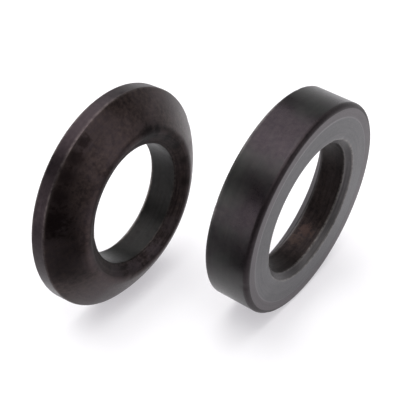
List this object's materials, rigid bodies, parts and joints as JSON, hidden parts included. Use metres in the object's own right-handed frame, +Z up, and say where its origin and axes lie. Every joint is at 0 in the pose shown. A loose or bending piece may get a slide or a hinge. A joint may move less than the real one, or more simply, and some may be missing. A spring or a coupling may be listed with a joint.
{
  "type": "self-aligning washer set",
  "caption": "Domed spherical washer and thick ring with a conical seat, set apart; the dome slides into the cone and can lie there at a small angle, so a nut can be slightly out of square.",
  "frame": {"origin": "bottom centre of the pair's box at rest, both rings standing on edge, the washer leaning back 5.3 degrees", "axes": "+X along the seat's axis, out of its bearing face; +Y across the axis, from the washer towards the seat; +Z up"},
  "size_m": [0.054, 0.0996, 0.0681],
  "materials": {
    "seat_black_oxide": "black oxide on turned steel, oiled satin, neutral black",
    "washer_black_oxide": "black oxide on turned steel, satin, brownish black"
  },
  "bodies": {
    "seat": {"conical_seat": "seat_black_oxide"},
    "washer": {"spherical_washer": "washer_black_oxide"}
  },
  "joints": [
    {"name": "washer_to_seat", "type": "slide", "parent": "seat", "child": "washer", "axis": [0.6376, 0.7666, 0.0763], "range_m": [0, 0.04109]}
  ]
}
